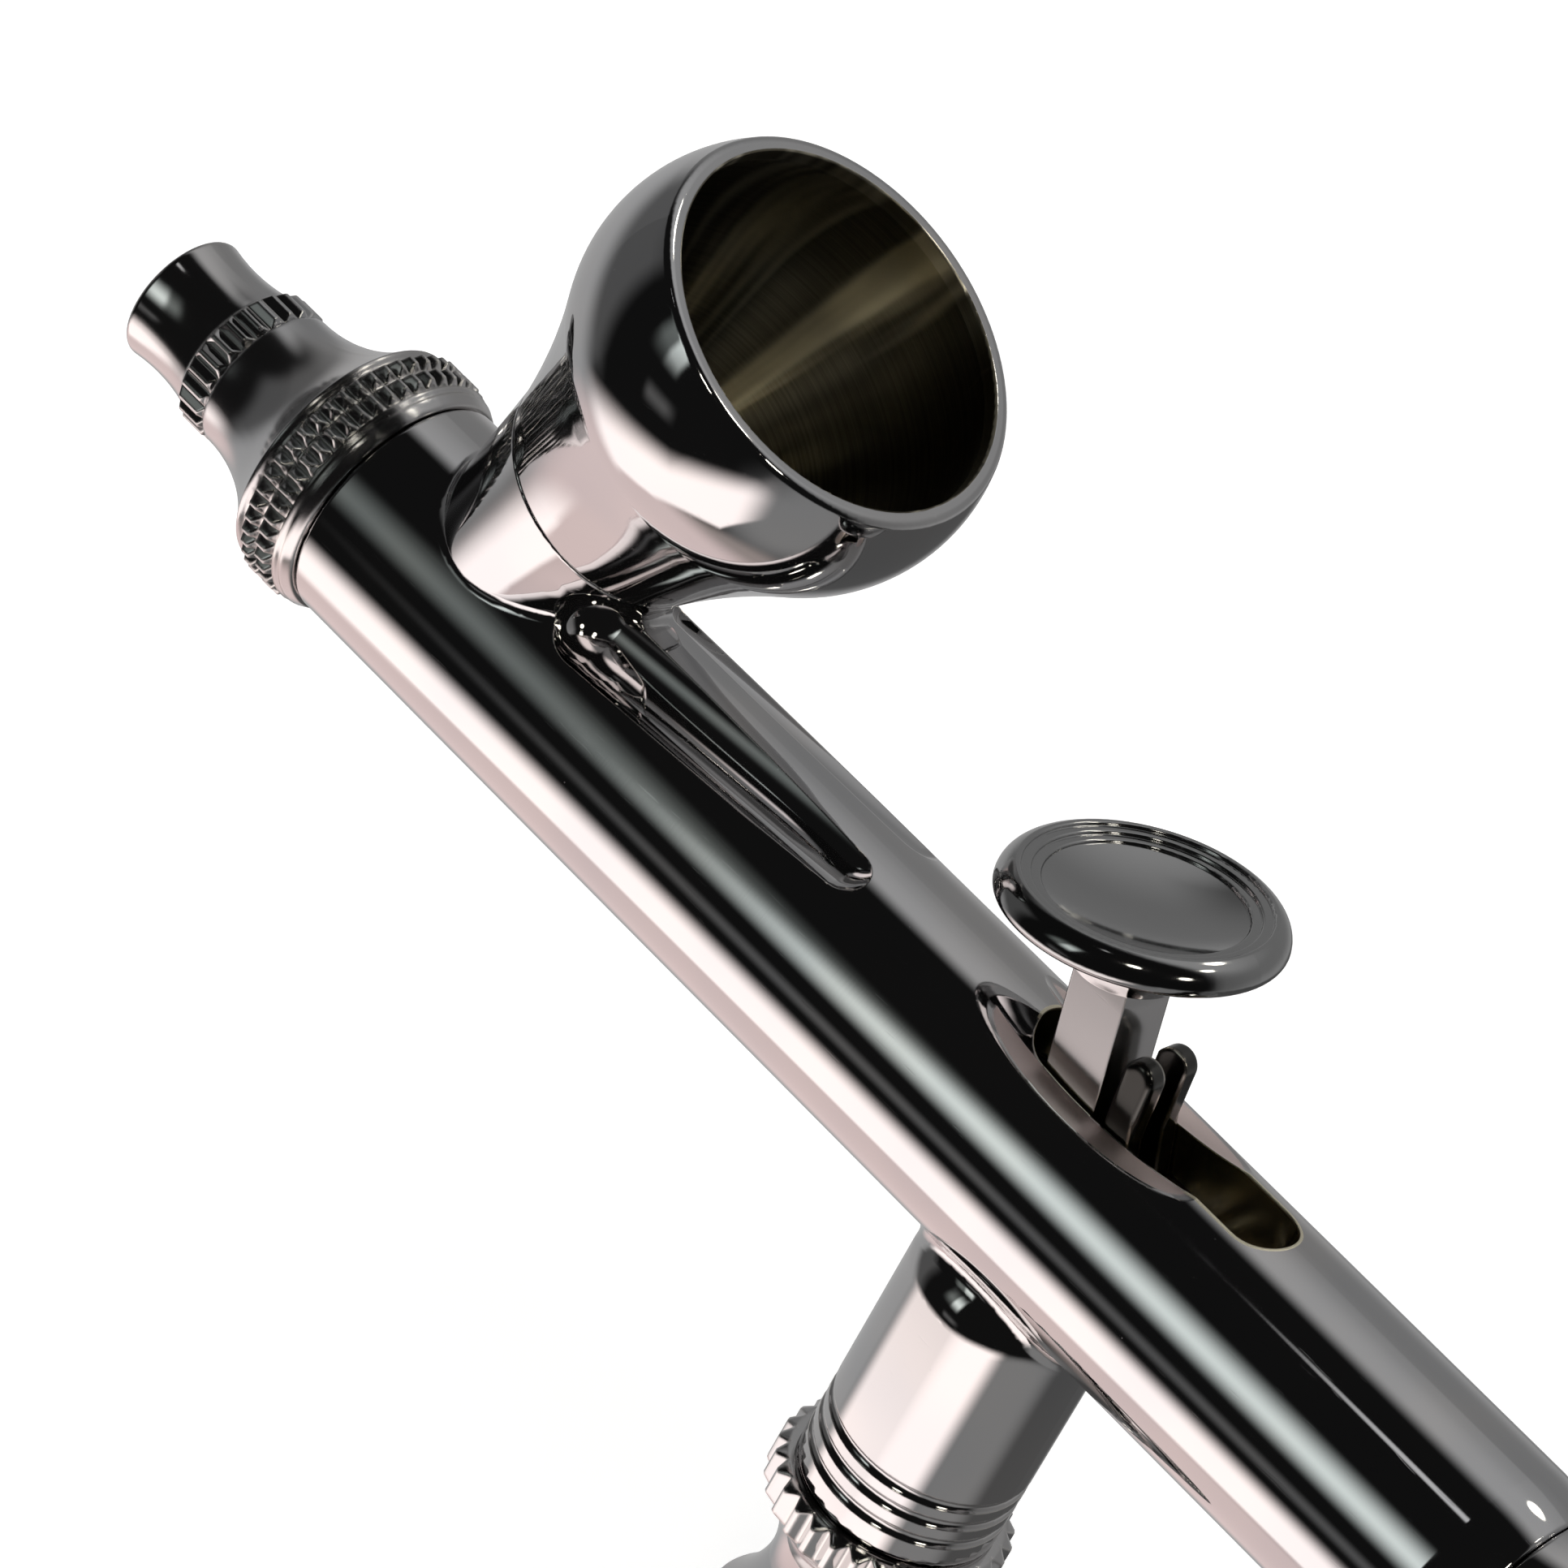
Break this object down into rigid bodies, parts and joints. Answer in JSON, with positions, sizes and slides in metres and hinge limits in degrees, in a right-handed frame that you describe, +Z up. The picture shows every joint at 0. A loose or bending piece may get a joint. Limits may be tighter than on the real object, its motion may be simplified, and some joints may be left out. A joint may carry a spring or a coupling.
{
  "type": "airbrush gun",
  "caption": "Dual-action gravity-feed airbrush with a top paint cup, finger trigger, tapered handle and a threaded air inlet below.",
  "frame": {"origin": "where the air valve's axis meets the barrel's axis", "axes": "+X along the barrel towards the handle, so the nose points to -X; +Z up, the side of the cup and the trigger; the air inlet points down"},
  "size_m": [0.1545, 0.0206, 0.0668],
  "materials": {
    "plated_body": "mirror-polished dark plating",
    "plated_handle": "mirror-polished dark plating",
    "plated_cup": "mirror-polished dark plating, inside turned and warmer",
    "plated_caps": "mirror-polished plating with crisp knurls",
    "plated_trigger": "mirror-polished plating, flat-ground stem",
    "plated_lever": "polished plating",
    "plated_casing": "mirror-polished plating with a coarse knurl",
    "plated_fittings": "turned and nickel-plated",
    "brass_fittings": "turned, unplated",
    "nozzle_metal": "finely turned",
    "needle_steel": "ground and polished",
    "spring_steel": "drawn wire",
    "white_seal": "machined PTFE",
    "black_rubber": "moulded"
  },
  "bodies": {
    "body": {"body_shell": "plated_body", "paint_cup": "plated_cup", "nozzle": "nozzle_metal", "nozzle_seal": "white_seal", "needle_packing": "white_seal", "packing_screw": "brass_fittings", "valve_casing": "plated_casing", "casing_o_ring": "black_rubber", "piston_packing": "black_rubber", "valve_guide_screw": "brass_fittings"},
    "nozzle_cap": {"nozzle_cap": "plated_caps"},
    "needle_cap": {"needle_cap": "plated_caps"},
    "air_piston": {"valve_piston": "brass_fittings", "valve_plunger": "brass_fittings", "plunger_seal": "black_rubber", "valve_spring": "spring_steel"},
    "trigger": {"trigger": "plated_trigger"},
    "aux_lever": {"aux_lever": "plated_lever"},
    "needle_carrier": {"needle": "needle_steel", "needle_guide": "plated_fittings", "needle_spring": "spring_steel"},
    "chuck_nut": {"chuck_nut": "plated_fittings"},
    "spring_case": {"spring_case": "plated_fittings"},
    "handle": {"handle": "plated_handle"}
  },
  "joints": [
    {"name": "trigger_pull", "type": "hinge", "parent": "air_piston", "child": "trigger", "pos_m": [0, 0, -0.0052], "axis": [0, 1, 0], "range_deg": [0, 17]},
    {"name": "air_press", "type": "slide", "parent": "body", "child": "air_piston", "axis": [0, 0, -1], "range_m": [0, 0.0022], "deforming": ["valve_spring"]},
    {"name": "lever_rock", "type": "hinge", "parent": "body", "child": "aux_lever", "pos_m": [0.0029, 0, -0.0029], "axis": [0, 1, 0], "range_deg": [0, 26.6]},
    {"name": "needle_draw", "type": "slide", "parent": "body", "child": "needle_carrier", "axis": [1, 0, 0], "range_m": [0, 0.0021], "deforming": ["needle_spring"]},
    {"name": "nozzle_cap_turn", "type": "hinge", "parent": "body", "child": "nozzle_cap", "pos_m": [0, 0, 0], "axis": [1, 0, 0], "continuous": true},
    {"name": "needle_cap_turn", "type": "hinge", "parent": "nozzle_cap", "child": "needle_cap", "pos_m": [0, 0, 0], "axis": [1, 0, 0], "continuous": true},
    {"name": "chuck_nut_turn", "type": "hinge", "parent": "needle_carrier", "child": "chuck_nut", "pos_m": [0, 0, 0], "axis": [1, 0, 0], "continuous": true},
    {"name": "spring_case_turn", "type": "hinge", "parent": "body", "child": "spring_case", "pos_m": [0, 0, 0], "axis": [1, 0, 0], "continuous": true},
    {"name": "handle_turn", "type": "hinge", "parent": "body", "child": "handle", "pos_m": [0, 0, 0], "axis": [1, 0, 0], "continuous": true}
  ],
  "couplings": [
    {"joint": "lever_rock", "follows": "trigger_pull", "ratio": 1.56},
    {"joint": "needle_draw", "follows": "trigger_pull", "m_per_rad": 0.00702}
  ]
}
